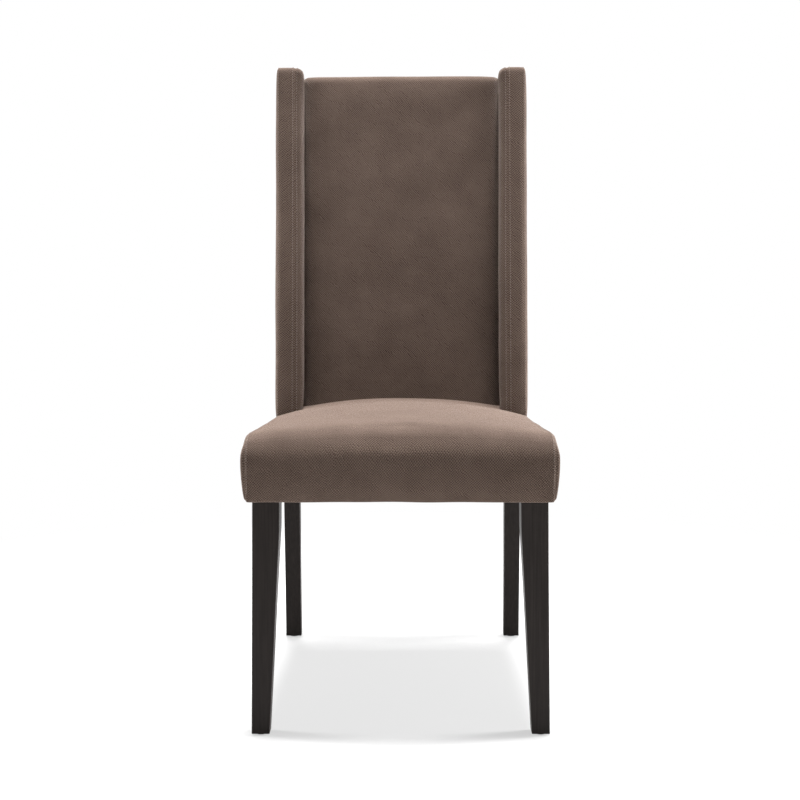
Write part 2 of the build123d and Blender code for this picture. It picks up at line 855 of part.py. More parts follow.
# Glides under the four feet
foot_places = [
    (leg_foot_half - leg_foot_width / 2, leg_front_y + leg_foot_width / 2),
    (rear_foot_half - post_width / 2, post_front_y + rear_sweep + rear_foot_depth / 2),
]
disc = Cylinder(glide_radius, glide, align=(Align.CENTER, Align.CENTER, Align.MIN))
disc = chamfer(disc.edges().sort_by(Axis.Z)[0], glide_edge)
write("foot_glides", both_sides([Pos(x, y, 0) * disc for x, y in foot_places]))
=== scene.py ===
# Looks of the upholstered dining chair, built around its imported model. Lengths are in metres.
# X runs to the right in the front view, Y to the rear and Z up.
import json
import math

import bpy
import numpy as np
from mathutils import Euler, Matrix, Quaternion, Vector


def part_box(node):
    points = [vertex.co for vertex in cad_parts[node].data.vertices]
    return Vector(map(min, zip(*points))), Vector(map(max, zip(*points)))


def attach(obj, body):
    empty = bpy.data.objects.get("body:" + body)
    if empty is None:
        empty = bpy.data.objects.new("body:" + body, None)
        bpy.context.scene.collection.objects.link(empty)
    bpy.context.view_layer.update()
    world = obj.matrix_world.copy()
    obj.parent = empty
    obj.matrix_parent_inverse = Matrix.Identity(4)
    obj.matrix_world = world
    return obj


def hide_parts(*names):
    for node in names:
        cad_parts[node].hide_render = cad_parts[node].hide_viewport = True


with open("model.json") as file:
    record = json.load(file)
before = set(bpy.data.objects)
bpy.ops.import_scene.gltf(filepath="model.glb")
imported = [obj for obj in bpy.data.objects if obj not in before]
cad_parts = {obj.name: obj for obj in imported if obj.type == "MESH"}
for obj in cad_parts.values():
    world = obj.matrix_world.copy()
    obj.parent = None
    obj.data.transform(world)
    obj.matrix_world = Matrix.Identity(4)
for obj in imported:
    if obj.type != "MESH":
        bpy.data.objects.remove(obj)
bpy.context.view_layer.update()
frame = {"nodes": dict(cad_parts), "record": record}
scene = bpy.context.scene
rng = np.random.default_rng(7)

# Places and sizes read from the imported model
seat_low, seat_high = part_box("seat_cover")
outer_low, outer_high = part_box("wing_outer_cover_right")
band_low, band_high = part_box("wing_front_band_right")
inner_low, inner_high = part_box("wing_inner_cover_right")
pad_cover_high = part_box("inside_back_cover")[1]
back_low, back_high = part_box("outside_back_cover")
dust_low, dust_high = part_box("dust_cloth")
left_leg_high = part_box("front_leg_left")[1]
left_post_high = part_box("rear_leg_left")[1]
rear_rail_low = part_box("rear_rail")[0]

# The raked frame of the back: v is the distance behind the front of the pad
rake = math.radians(8.5)
pad_front_y = 0.1675
rake_base_z = 0.480
back_depth = 0.057
cover = 0.002

# Seat in plan, and its top: a parabola through the front roll, the crown and the rear. The rises and
# drops are those of the middle and the sides, and the drops are full at seat_drop_reach past the side.
seat_half = 0.2414
seat_rear_half = 0.2230
seat_rear_y = seat_high.y - 0.0010
seat_front_z = 0.480
seat_front_rise = 0.014
seat_front_power = 2.6
seat_front_top = 0.030
seat_crown_y = -0.0624
seat_crown_z = 0.497
seat_crown_drop = 0.031
seat_rear_z = 0.483
seat_rear_drop = 0.025
seat_drop_reach = 0.0115
seat_rise_below = 0.012
seat_roll = 0.036
seat_rear_edge = 0.004

# Seat sides, which draw in above and below their fullest line, and how the seat is inflated
seat_bulge_z = 0.442
seat_bulge = 0.0085
seat_low_bulge = 0.0029
seat_low_rear = 0.0066
seat_front_bulge = 0.007
seat_front_zone = 0.06
seat_corner = 0.014
seat_corner_zone = 0.02
seat_hem = 0.004
seat_hem_share = 0.6
seat_hem_rows = (0.0015, 0.004)
seat_cell = 0.0075
seat_pressure = 2.5
seat_cap = 0.0025
seat_drift = 0.0007
hem_drift = 0.0011
hem_zone = 0.03

# Wings: a right one, whose X is turned over for the left one. Its box runs from the low to the high
# corner, in X, v and Z, its nose is shifted towards the middle, and it is hollow between nose and pad.
inner_seam_shift = 0.0020
wing_root_half = inner_low.x + 0.0035
wing_reach = 0.090
wing_low = np.array([wing_root_half, -wing_reach, outer_low.z - 0.002])
wing_high = np.array([outer_high.x + 0.0002, back_depth - cover - 0.0003, outer_high.z + 0.0015])
wing_low_radii = (0.010, 0.0045, 0.002)
wing_high_radii = (0.0045, 0.002, 0.009)
wing_margins = (0.001, 0.0005)
wing_nose_shift = -0.0078
wing_nose_start = 0.45
wing_nose_span = 0.4
wing_hollow = 0.0030
hollow_rear_zone = 0.015
hollow_front_gap = 0.010
hollow_front_zone = 0.022
hollow_slope = 1.6
hollow_offset = 0.6
wing_cell = 0.007
wing_pressure = 2.5
wing_cap = 0.0022
wing_drift = 0.0007

# Back pad: its front bows out, and its sides roll back over pad_edge by pad_sink
pad_half = wing_root_half + 0.0005
pad_low = np.array([-pad_half, -0.003, seat_front_z - 0.030])
pad_high = np.array([pad_half, back_depth - cover - 0.0006, pad_cover_high.z + 0.0020])
pad_low_radii = (0.002, 0.011, 0.004)
pad_high_radii = (0.002, 0.002, 0.011)
pad_bow = 0.0035
pad_edge = 0.042
pad_edge_pin = 0.9
pad_sink = 0.030
pad_cell = 0.0075
pad_pressure = 1.5
pad_cap = 0.0015
pad_drift = 0.0008

# Outside back and dust cloth
bend = 0.460
back_cell = 0.009
back_radius = 0.0009
back_step = 0.008
back_zone = 0.05
back_puff = 0.0012
dust_cell = 0.010
dust_gap = 0.0004
dust_sag = 0.0016
dust_zone = 0.05
dust_thickness = 0.0006
post_clear = 0.004
post_side_clear = 0.003

# Seams and stitches: each depth is that of a groove, and seam_pin says how firmly the simulation holds
# a seam
groove_width = 0.0042
seat_groove = 0.0016
inner_groove = 0.0011
outer_groove = 0.0003
seam_pin = 0.7
stitch_side = 0.0035
seam_steps = np.array((0.0009, 0.0021, stitch_side, 0.0050))
stitch_radius = 0.00045
stitch_width = 1.15
stitch_share = 0.62
stitch_spread = 0.06
stitch_lift = 0.0002
stitch_corners = 6
stitch_profile = ((-0.5, 0.0), (-0.42, 0.75), (-0.2, 1.0), (0.2, 1.0), (0.42, 0.75), (0.5, 0.0))
seat_pitch = 0.0036
seat_stitches_low = 0.006
seat_stitches_end = 0.03
wing_pitch = 0.0050
wing_stitches_low = 0.025

# Legs' eased edges
leg_edge = 0.0011
leg_edge_angle = math.radians(40)

# Looks, as linear colours
yarn = 0.0021
yarn_wobble = 8.0
fabric_dark = (0.028, 0.0182, 0.0139, 1)
fabric_light = (0.134, 0.0980, 0.0800, 1)
fabric_sheen = (0.88, 0.74, 0.67, 1)
weave_tone = 0.66
least_tone = 0.15
fibre_tone = 0.44
blotch_tone = 0.30
worn_tone = 0.24
thread_dark = (0.095, 0.070, 0.058, 1)
thread_light = (0.20, 0.152, 0.127, 1)
stain_dark = (0.0100, 0.0078, 0.0070, 1)
stain_light = (0.0200, 0.0158, 0.0142, 1)
pore_dark = (0.005, 0.004, 0.0036, 1)

# Studio: the floor's tones where it is seen and where it lights the chair, and its white glow
floor_half = 12.0
floor_seen = (0.60, 0.60, 0.60, 1)
floor_bounce = (0.58, 0.58, 0.58, 1)
floor_glow = 0.50
glow_start = 0.7
glow_end = 1.6
ambient = 0.15
chair_middle = (0, 0, 0.55)
lamps = (
    # name, place, aim, size, power in watts
    ("top_light", (0.06, 0.22, 5.0), (0, 0, 0.5), (1.3, 1.3), 1010),
    ("front_light", (1.2, -1.9, 0.55), chair_middle, (1.4, 1.4), 5.6),
    ("left_rim_light", (-2.4, 0.35, 0.65), chair_middle, (0.6, 1.1), 92),
    ("right_rim_light", (2.4, 0.35, 0.65), chair_middle, (0.6, 1.1), 145),
)
camera_lens = 63.05
camera_sensor = 36.0
camera_place = (0.0148, -2.4568, 0.7682)
camera_pitch = 6.186
camera_yaw = 0.393
camera_roll = -0.12

# Guards against dividing by zero, the spread of the random wavelengths, and how near the grid's even
# places come to its exact ones
tiny = 1e-9
tiny_area = 1e-12
wave_spread = (0.7, 1.5)
least_gap_share = 0.55


def raked_y(v, height):
    """The Y of a place v behind the front of the pad, at a height."""
    return pad_front_y + v / math.cos(rake) + (height - rake_base_z) * math.tan(rake)


def spaced(low, high, step, exact=()):
    """Places from low to high about a step apart, with some exact ones among them."""
    count = max(1, round((high - low) / step))
    even = [low + (high - low) * n / count for n in range(1, count)]
    kept = [p for p in even if all(abs(p - e) > least_gap_share * step for e in exact)]
    return np.array(sorted({low, high, *kept, *exact}))


def near_seam(places):
    """Grid places round each seam: the seam, its lips and its stitch line."""
    return sorted({p + side * s for p in places for s in (0.0, *seam_steps) for side in (-1, 1)})


class Box:
    """A soft box on a grid: its surface points, and its quads with the side that each is on."""

    def __init__(self, xs, ys, zs):
        self.places = (xs, ys, zs)
        self.last = (len(xs) - 1, len(ys) - 1, len(zs) - 1)
        self.index = {}
        self.keys = []
        self.quads = []
        self.sides = []
        # each side: the axis that is fixed, and the two that run, in turning order
        for axis, first, second in ((0, 1, 2), (1, 2, 0), (2, 0, 1)):
            for high in (False, True):
                self.add_side(axis, first, second, high)
        self.keys = np.array(self.keys)
        self.quads = np.array(self.quads)
        self.flat = np.stack([self.places[a][self.keys[:, a]] for a in range(3)], axis=1)
        self.low = self.flat.min(0)
        self.high = self.flat.max(0)
        self.flank = (self.keys[:, 0] == 0) | (self.keys[:, 0] == self.last[0])
        # the bottom and the rear, which are held
        self.held = (self.keys[:, 2] == 0) | (self.keys[:, 1] == self.last[1])

    def vertex(self, key):
        """The number of the point at a grid place."""
        if key not in self.index:
            self.index[key] = len(self.keys)
            self.keys.append(key)
        return self.index[key]

    def add_side(self, axis, first, second, high):
        """Adds the quads of one side, turned outwards."""
        fixed = self.last[axis] if high else 0
        for a in range(self.last[first]):
            for b in range(self.last[second]):
                corners = []
                for da, db in ((0, 0), (1, 0), (1, 1), (0, 1)):
                    key = [0, 0, 0]
                    key[axis], key[first], key[second] = fixed, a + da, b + db
                    corners.append(self.vertex(tuple(key)))
                self.quads.append(corners if high else corners[::-1])
                self.sides.append((axis, high))

    def rounded(self, radii_low, radii_high):
        """The points with the edges rounded, by a radius for each side of the box."""
        core = np.clip(self.flat, self.low + radii_low, self.high - radii_high)
        out = self.flat - core
        radii = np.where(out < 0, radii_low, radii_high)
        unit = out / radii
        length = np.maximum(np.linalg.norm(unit, axis=1, keepdims=True), tiny)
        return core + radii * unit / length

    def column(self, place):
        """The number of the X column at a place."""
        return int(np.argmin(np.abs(self.places[0] - place)))


def disc_rounded(places, low, high, radius_low, radius_high):
    """Rounds the corners of a rectangle's points, inner ones too, along two of their axes."""
    core = np.clip(places, low + radius_low, high - radius_high)
    out = places - core
    radii = np.where(out < 0, radius_low, radius_high)
    unit = out / radii
    square = np.abs(unit).max(1, keepdims=True)
    circle = np.maximum(np.linalg.norm(unit, axis=1, keepdims=True), tiny)
    return core + radii * unit * square / circle


def smooth_step(t):
    """A soft step from 0 to 1, as t goes from 0 to 1."""
    t = np.clip(t, 0, 1)
    return t * t * (3 - 2 * t)


def waves(points, wavelength, seed):
    """A soft unevenness from -1 to 1 that changes over about a wavelength."""
    count = 5
    draw = np.random.default_rng(seed)
    total = np.zeros(len(points))
    for _ in range(count):
        way = draw.normal(size=3)
        way *= 2 * math.pi / (wavelength * draw.uniform(*wave_spread) * np.linalg.norm(way))
        total += np.sin(points @ way + draw.uniform(0, 2 * math.pi))
    return total / count


def normals_of(points, quads):
    """Vertex normals of a quad mesh."""
    a, b, c, d = (points[quads[:, n]] for n in range(4))
    face = np.cross(c - a, d - b)
    total = np.zeros_like(points)
    for n in range(4):
        np.add.at(total, quads[:, n], face)
    return total / np.maximum(np.linalg.norm(total, axis=1, keepdims=True), tiny_area)


def eased(points, quads):
    """Moves each point half the way to the middle of its neighbours."""
    edges = np.concatenate([quads[:, [0, 1]], quads[:, [1, 2]], quads[:, [2, 3]], quads[:, [3, 0]]])
    edges = np.unique(np.sort(edges, axis=1), axis=0)
    degree = np.bincount(edges.ravel(), minlength=len(points))[:, None]
    total = np.zeros_like(points)
    np.add.at(total, edges[:, 0], points[edges[:, 1]])
    np.add.at(total, edges[:, 1], points[edges[:, 0]])
    return points + 0.5 * (total / degree - points)


def inflate(obj, pressure):
    """Runs a cloth simulation on a pinned cover, with air that presses from inside and no gravity."""
    frames = 20
    modifier = obj.modifiers.new("cloth", "CLOTH")
    settings = modifier.settings
    settings.quality = 5
    settings.mass = 0.3
    settings.use_pressure = True
    settings.uniform_pressure_force = pressure
    settings.vertex_group_mass = "pins"
    settings.effector_weights.gravity = 0
    settings.bending_stiffness = 2.0
    modifier.collision_settings.use_collision = False
    modifier.point_cache.frame_start = 1
    modifier.point_cache.frame_end = frames
    for number in range(1, frames + 1):
        scene.frame_set(number)


def cloth_points(points, quads, pins, pressure, cap):
    """Where a closed cover comes to rest when it is inflated, each point moving by less than the cap."""
    mesh = bpy.data.meshes.new("trial_cover")
    mesh.from_pydata(points.tolist(), [], quads.tolist())
    obj = bpy.data.objects.new("trial_cover", mesh)
    scene.collection.objects.link(obj)
    group = obj.vertex_groups.new(name="pins")
    levels = np.round(pins, 2)
    for level in np.unique(levels):
        if level > 0:
            group.add(np.flatnonzero(levels == level).tolist(), float(level), "REPLACE")
    inflate(obj, pressure)
    solved = obj.evaluated_get(bpy.context.evaluated_depsgraph_get())
    moved = np.empty(len(points) * 3)
    solved.data.vertices.foreach_get("co", moved)
    bpy.data.objects.remove(obj)
    bpy.data.meshes.remove(mesh)
    scene.frame_set(1)
    step = moved.reshape(-1, 3) - points
    length = np.maximum(np.linalg.norm(step, axis=1, keepdims=True), tiny)
    return points + step / length * cap * np.tanh(length / cap)


def drifted(points, quads, push):
    """Moves each point along its normal by its own push."""
    return points + normals_of(points, quads) * push[:, None]


def grooved(box, points, distance, depth):
    """Presses a seam into the cloth, by the distance of each point from it, but not where it is held."""
    near = np.where(box.held, 0, np.clip(1 - distance / groove_width, 0, 1))
    return points - normals_of(points, box.quads) * (depth * near * near)[:, None]


def make_object(name, points, quads, material, uvs=None, levels=1):
    """A mesh piece on the root body, from the quads' own points, with its cloth coordinates."""
    used, local = np.unique(quads, return_inverse=True)
    mesh = bpy.data.meshes.new(name)
    mesh.from_pydata(points[used].tolist(), [], local.reshape(quads.shape).tolist())
    if uvs is not None:
        layer = mesh.uv_layers.new(name="cloth")
        layer.data.foreach_set("uv", np.asarray(uvs, np.float32).ravel())
    mesh.polygons.foreach_set("use_smooth", [True] * len(mesh.polygons))
    mesh.materials.append(material)
    obj = bpy.data.objects.new(name, mesh)
    scene.collection.objects.link(obj)
    if levels:
        subdivision = obj.modifiers.new("subdivision", "SUBSURF")
        subdivision.levels = levels
        subdivision.render_levels = levels
    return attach(obj, "root")


def wrap_uv(box, axis, up, place):
    """The coordinates of cloth that runs up the front, over the top and down the rear."""
    x, y, z = place
    if axis == 1:
        return (x, 2 * box.high[2] + box.high[1] - box.low[1] - z) if up else (x, z)
    return (x, box.high[2] + y - box.low[1]) if up else (x, box.low[2] - y + box.low[1])


def panel_uv(box, axis, up, place):
    """The coordinates of cloth that lies on an X side and turns over its edges."""
    x, y, z = place
    turn = box.high[0] - x if x > 0 else x - box.low[0]
    if axis == 0:
        return y, z
    if axis == 1:
        return (box.high[1] + turn, z) if up else (box.low[1] - turn, z)
    return (y, box.high[2] + turn) if up else (y, box.low[2] - turn)


def make_cover(name, box, points, rows, uv_of):
    """A fabric piece from some of a box's quads, with the cloth's own coordinates in metres."""
    uvs = np.empty((len(rows), 4, 2))
    for row, n in enumerate(rows):
        axis, up = box.sides[n]
        for corner, vertex in enumerate(box.quads[n]):
            uvs[row, corner] = uv_of(box, axis, up, box.flat[vertex])
    return make_object(name, points, box.quads[rows], fabric, uvs)


def seam_path(box, place):
    """The numbers of the points of one X column: up the front, and then over the top to the rear."""
    on_column = box.keys[:, 0] == box.column(place)
    front = np.flatnonzero(on_column & (box.keys[:, 1] == 0))
    top = np.flatnonzero(on_column & (box.keys[:, 2] == box.last[2]) & (box.keys[:, 1] > 0))
    return np.concatenate([front[np.argsort(box.keys[front, 2])], top[np.argsort(box.keys[top, 1])]])


def add_stitch(points, quads, start, end, out):
    """Adds a rounded bar between two places to the lists of points and quads."""
    way = end - start
    length = np.linalg.norm(way)
    way /= length
    out -= way * (out @ way)
    out /= np.linalg.norm(out)
    side = np.cross(way, out)
    centre = (start + end) / 2 + out * stitch_lift
    base = len(points)
    for along, size in stitch_profile:
        for turn in range(stitch_corners):
            angle = 2 * math.pi * turn / stitch_corners
            ring = side * math.cos(angle) * stitch_width + out * math.sin(angle)
            points.append(centre + way * along * length + ring * stitch_radius * size)
    for first in range(base, len(points) - stitch_corners, stitch_corners):
        second = first + stitch_corners
        for turn in range(stitch_corners):
            after = (turn + 1) % stitch_corners
            quads.append((first + turn, first + after, second + after, second + turn))


def stitches(name, path, outward, pitch):
    """A row of threads along a path, each a small rounded bar that lies in the cloth."""
    steps = np.linalg.norm(np.diff(path, axis=0), axis=1)
    along = np.concatenate([[0], np.cumsum(steps)])
    count = int(along[-1] / pitch)
    points = []
    quads = []

    def at(distance, table):
        """The table's row at a distance along the path."""
        return np.array([np.interp(distance, along, table[:, a]) for a in range(3)])

    for n in range(count):
        middle = (n + 0.5) * along[-1] / count
        half = pitch * stitch_share / 2 * (1 + stitch_spread * rng.normal())
        add_stitch(points, quads, at(middle - half, path), at(middle + half, path), at(middle, outward))
    make_object(name, np.array(points), np.array(quads), thread, levels=0)


class Nodes:
    """Short calls that add nodes to a node tree."""

    def __init__(self, tree):
        self.tree = tree

    def add(self, kind, settings=None, **inputs):
        """A new node, with its settings and inputs."""
        node = self.tree.nodes.new(kind)
        for name, value in (settings or {}).items():
            setattr(node, name, value)
        for name, value in inputs.items():
            self.feed(node.inputs[name.replace("_", " ")], value)
        return node

    def feed(self, socket, value):
        """Links another socket to an input, or sets the input's own value."""
        if isinstance(value, bpy.types.NodeSocket):
            self.tree.links.new(value, socket)
        else:
            socket.default_value = value

    def maths(self, operation, first, second=0.0, third=0.0):
        """The result of an operation on up to three values."""
        node = self.add("ShaderNodeMath", {"operation": operation})
        for socket, value in zip(node.inputs, (first, second, third)):
            self.feed(socket, value)
        return node.outputs[0]

    def mix(self, factor, first, second):
        """A colour between two others."""
        node = self.add("ShaderNodeMix", {"data_type": "RGBA"})
        self.feed(node.inputs[0], factor)
        self.feed(node.inputs[6], first)
        self.feed(node.inputs[7], second)
        return node.outputs[2]

    def noise(self, vector, scale, detail=2.0, roughness=0.5):
        """A smooth random pattern from 0 to 1."""
        node = self.add("ShaderNodeTexNoise", Scale=scale, Detail=detail, Roughness=roughness)
        self.feed(node.inputs["Vector"], vector)
        return node.outputs[0]

    def span(self, value, low, high, to_low=0.0, to_high=1.0):
        """A soft step from one value to another, as the input goes from low to high."""
        node = self.add("ShaderNodeMapRange", {"interpolation_type": "SMOOTHSTEP"})
        for number, item in enumerate((value, low, high, to_low, to_high)):
            self.feed(node.inputs[number], item)
        return node.outputs[0]

    def stretch(self, vector, scale):
        """The place scaled along each axis."""
        node = self.add("ShaderNodeMapping", Scale=scale)
        self.feed(node.inputs["Vector"], vector)
        return node.outputs[0]


class Shader(Nodes):
    """A material, and short calls that set its surface."""

    def __init__(self, name):
        self.material = bpy.data.materials.new(name)
        self.material.use_nodes = True
        super().__init__(self.material.node_tree)
        self.main = self.tree.nodes["Principled BSDF"]

    def place(self):
        """The place in the piece's own coordinates."""
        return self.add("ShaderNodeTexCoord").outputs["Object"]

    def bump(self, height, distance, strength=1.0):
        """Tilts the surface by a height pattern."""
        node = self.add("ShaderNodeBump", Strength=strength, Distance=distance, Height=height)
        self.feed(self.main.inputs["Normal"], node.outputs[0])

    def set(self, **values):
        """Feeds inputs of the surface by name."""
        for name, value in values.items():
            self.feed(self.main.inputs[name.replace("_", " ")], value)


def fabric_material():
    """A napped plain weave of thick yarns, with the sheen of its pile at grazing angles."""
    shader = Shader("upholstery_weave")
    maths = shader.maths
    place = shader.place()
    uv = shader.add("ShaderNodeUVMap", {"uv_map": "cloth"}).outputs[0]
    parts = shader.add("ShaderNodeSeparateXYZ", Vector=uv).outputs
    fine_wander = maths("MULTIPLY", shader.noise(place, scale=170.0, detail=1.0), 0.4)
    wander = maths("ADD", shader.noise(place, scale=55.0), fine_wander)
    wobble = maths("MULTIPLY", maths("SUBTRACT", wander, 0.7), yarn_wobble)
    across = maths("SINE", maths("MULTIPLY_ADD", parts[0], math.pi / yarn, wobble))
    along = maths("SINE", maths("MULTIPLY_ADD", parts[1], math.pi / yarn, wobble))
    crossing = maths("MULTIPLY", across, along)
    over = shader.span(crossing, -0.55, 0.55)
    fibres = shader.noise(place, scale=1500.0, roughness=0.7)
    blotches = shader.noise(place, scale=22.0, detail=3.0, roughness=0.6)
    worn = shader.noise(place, scale=4.0)
    tone = maths("MULTIPLY_ADD", over, weave_tone, least_tone)
    for pattern, amount in ((fibres, fibre_tone), (blotches, blotch_tone), (worn, worn_tone)):
        tone = maths("ADD", tone, maths("MULTIPLY_ADD", pattern, amount, -amount / 2))
    lift = maths("POWER", maths("ABSOLUTE", crossing), 0.5)
    height = maths("ADD", maths("MULTIPLY", lift, 0.8), maths("MULTIPLY", fibres, 0.35))
    shader.bump(maths("MULTIPLY_ADD", over, 0.25, height), distance=0.0010, strength=0.8)
    shader.set(Base_Color=shader.mix(tone, fabric_dark, fabric_light), Roughness=0.92,
               Sheen_Weight=0.28, Sheen_Roughness=0.4, Sheen_Tint=fabric_sheen, Specular_IOR_Level=0.0)
    return shader.material


def thread_material():
    """Slightly lighter sewing thread with a twist."""
    shader = Shader("sewing_thread")
    strands = shader.noise(shader.place(), scale=2500.0, detail=1.0)
    shader.bump(strands, distance=0.0002)
    shader.set(Base_Color=shader.mix(strands, thread_dark, thread_light), Roughness=0.7,
               Sheen_Weight=0.2, Specular_IOR_Level=0.1)
    return shader.material


def dark_wood_material():
    """Espresso stain under a satin lacquer, with the grain up the leg and open pores."""
    shader = Shader("dark_wood")
    place = shader.place()
    grain = shader.noise(shader.stretch(place, (420.0, 420.0, 9.0)), 1.0, detail=4.0, roughness=0.6)
    pores = shader.noise(shader.stretch(place, (1600.0, 1600.0, 28.0)), 1.0, roughness=0.7)
    cloud = shader.noise(shader.stretch(place, (14.0, 14.0, 3.0)), 1.0)
    tone = shader.maths("MULTIPLY_ADD", grain, 0.6, shader.maths("MULTIPLY", cloud, 0.4))
    stain = shader.mix(shader.span(tone, 0.3, 0.7), stain_dark, stain_light)
    in_pores = shader.span(pores, 0.60, 0.72, 0.0, 0.5)
    relief = shader.maths("MULTIPLY_ADD", pores, -0.7, shader.maths("MULTIPLY", grain, 0.3))
    shader.bump(relief, distance=0.00012, strength=0.6)
    shader.set(Base_Color=shader.mix(in_pores, stain, pore_dark),
               Roughness=shader.span(pores, 0.3, 0.75, 0.36, 0.52), Specular_IOR_Level=0.10)
    return shader.material


def raw_wood_material(name, light, dark, along):
    """Unfinished frame wood or plywood, with grain along its length."""
    shader = Shader(name)
    grain = shader.noise(shader.stretch(shader.place(), along), 1.0, detail=4.0, roughness=0.6)
    shader.bump(grain, distance=0.0002, strength=0.5)
    shader.set(Base_Color=shader.mix(shader.span(grain, 0.3, 0.7), dark, light),
               Roughness=shader.span(grain, 0.2, 0.8, 0.6, 0.8))
    return shader.material


def plain_material(name, light, dark, scale, roughness, bump, metal=0.0):
    """A fine-grained material, such as foam, webbing, felt, nylon or steel."""
    shader = Shader(name)
    grain = shader.noise(shader.place(), scale, detail=3.0, roughness=0.65)
    shader.bump(grain, distance=bump, strength=0.6)
    shader.set(Base_Color=shader.mix(shader.span(grain, 0.3, 0.7), dark, light),
               Roughness=roughness, Metallic=metal)
    return shader.material


fabric = fabric_material()
thread = thread_material()
# the finish of each material slot, with its lighter and darker colours
finishes = {
    "upholstery_fabric": fabric,
    "dark_wood": dark_wood_material(),
    "frame_wood": raw_wood_material(
        "beech", (0.60, 0.42, 0.25, 1), (0.42, 0.27, 0.15, 1), along=(60.0, 300.0, 300.0)),
    "plywood": raw_wood_material(
        "birch_plywood", (0.64, 0.48, 0.30, 1), (0.45, 0.31, 0.18, 1), along=(900.0, 40.0, 40.0)),
    "back_board": plain_material(
        "fibreboard", (0.36, 0.25, 0.17, 1), (0.26, 0.17, 0.11, 1), 900.0, 0.85, 0.0002),
    "webbing": plain_material(
        "jute_webbing", (0.14, 0.13, 0.12, 1), (0.06, 0.06, 0.06, 1), 1200.0, 0.85, 0.0003),
    "padding_foam": plain_material(
        "foam", (0.80, 0.72, 0.50, 1), (0.66, 0.58, 0.38, 1), 1500.0, 0.95, 0.0004),
    "dust_cloth": plain_material(
        "black_felt", (0.022, 0.021, 0.021, 1), (0.010, 0.010, 0.010, 1), 900.0, 0.95, 0.0003),
    "fasteners": plain_material(
        "zinc_steel", (0.66, 0.65, 0.60, 1), (0.48, 0.47, 0.44, 1), 700.0, 0.38, 0.00005, metal=1.0),
    "glide_nylon": plain_material(
        "nylon", (0.035, 0.035, 0.034, 1), (0.020, 0.020, 0.020, 1), 500.0, 0.55, 0.0001),
}


def seat_box():
    """The seat's grid, finer beside its seams and at its bottom edge."""
    low = np.array([-seat_half, seat_low.y, seat_low.z])
    high = np.array([seat_half, seat_rear_y, seat_front_z])
    xs = spaced(low[0], high[0], seat_cell, [*(low[0] + seam_steps), *(high[0] - seam_steps)])
    ys = spaced(low[1], high[1], seat_cell, low[1] + seam_steps)
    hem_rows = [low[2] + row for row in seat_hem_rows]
    zs = spaced(low[2], high[2], seat_cell, [*hem_rows, *(high[2] - seam_steps)])
    return Box(xs, ys, zs)


def seat_profile(box):
    """The seat's Y and Z, with its upper edges rounded widely and its lower ones tightly."""
    places, low, high = box.flat[:, 1:], box.low[1:], box.high[1:]
    profile = disc_rounded(places, low, high, (seat_roll, seat_hem), (seat_rear_edge, seat_roll))
    tight = disc_rounded(places, low, high, (seat_hem, seat_hem), (seat_rear_edge, seat_hem))
    lower = places[:, 1] < low[1] + 0.5 * (high[1] - low[1])
    profile[lower] = tight[lower]
    return profile.T


def seat_top(box, x, y):
    """The height of the seat's top."""
    a, b, c = box.low[1] + seat_front_top, seat_crown_y, box.high[1]
    share = (x / (seat_half + seat_drop_reach)) ** 2
    front = seat_front_z + seat_front_rise * (1 - np.abs(x / seat_half) ** seat_front_power)
    crown = seat_crown_z - seat_crown_drop * share
    rear = seat_rear_z - seat_rear_drop * share
    y = np.maximum(y, a)
    return (front * (y - b) * (y - c) / ((a - b) * (a - c))
            + crown * (y - a) * (y - c) / ((b - a) * (b - c))
            + rear * (y - a) * (y - b) / ((c - a) * (c - b)))


def seat_swell(box, back):
    """How far a side panel swells from its seam, round the front corner and down to its fullest line."""
    _, flat_y, flat_z = box.flat.T
    drop = box.high[2] - flat_z
    full = box.high[2] - seat_bulge_z
    low_bulge = seat_low_bulge + (seat_low_rear - seat_low_bulge) * back
    above = seat_bulge * (1 - (1 - drop / full) ** 2)
    below = seat_bulge - (seat_bulge - low_bulge) * ((drop - full) / (seat_bulge_z - box.low[2])) ** 2
    swell = np.where(drop < full, above, below)
    corner = np.clip((flat_y - box.low[1]) / seat_corner, 0, 1)
    swell *= np.sqrt(1 - (1 - corner) ** 2)
    hem = np.clip((flat_z - box.low[2]) / seat_hem, 0, 1)
    return swell - seat_hem * seat_hem_share * (1 - np.sqrt(1 - (1 - hem) ** 2))


def seat_form(box):
    """The seat's points before it is inflated."""
    flat_x, flat_y, flat_z = box.flat.T
    low, high = box.low, box.high
    y, z = seat_profile(box)
    x = flat_x.copy()
    rise = smooth_step((z - seat_bulge_z + seat_rise_below) / (high[2] - seat_bulge_z + seat_rise_below))
    z = z + (seat_top(box, x, y) - seat_front_z) * rise
    # the front draws in below its fullest line
    below = np.clip((seat_bulge_z - z) / (seat_bulge_z - low[2]), 0, 1) ** 2
    y = y + seat_front_bulge * below * smooth_step(1 - (flat_y - low[1]) / seat_front_zone)
    back = np.clip((y - low[1]) / (high[1] - low[1]), 0, 1)
    x = x * (1 + (seat_rear_half / seat_half - 1) * back)
    x = np.where(box.flank, x + np.sign(flat_x) * seat_swell(box, back), x)
    # the lower front corners are rounded in the front view
    turn = np.clip((np.abs(flat_x) - seat_half + seat_hem) / seat_hem, 0, 1)
    lift = seat_hem * (1 - np.sqrt(1 - turn ** 2)) * smooth_step(1 - (flat_y - low[1]) / seat_corner_zone)
    z = z + lift * np.clip(1 - (flat_z - low[2]) / (2 * seat_hem), 0, 1)
    return eased(np.stack([x, y, z], axis=1), box.quads)


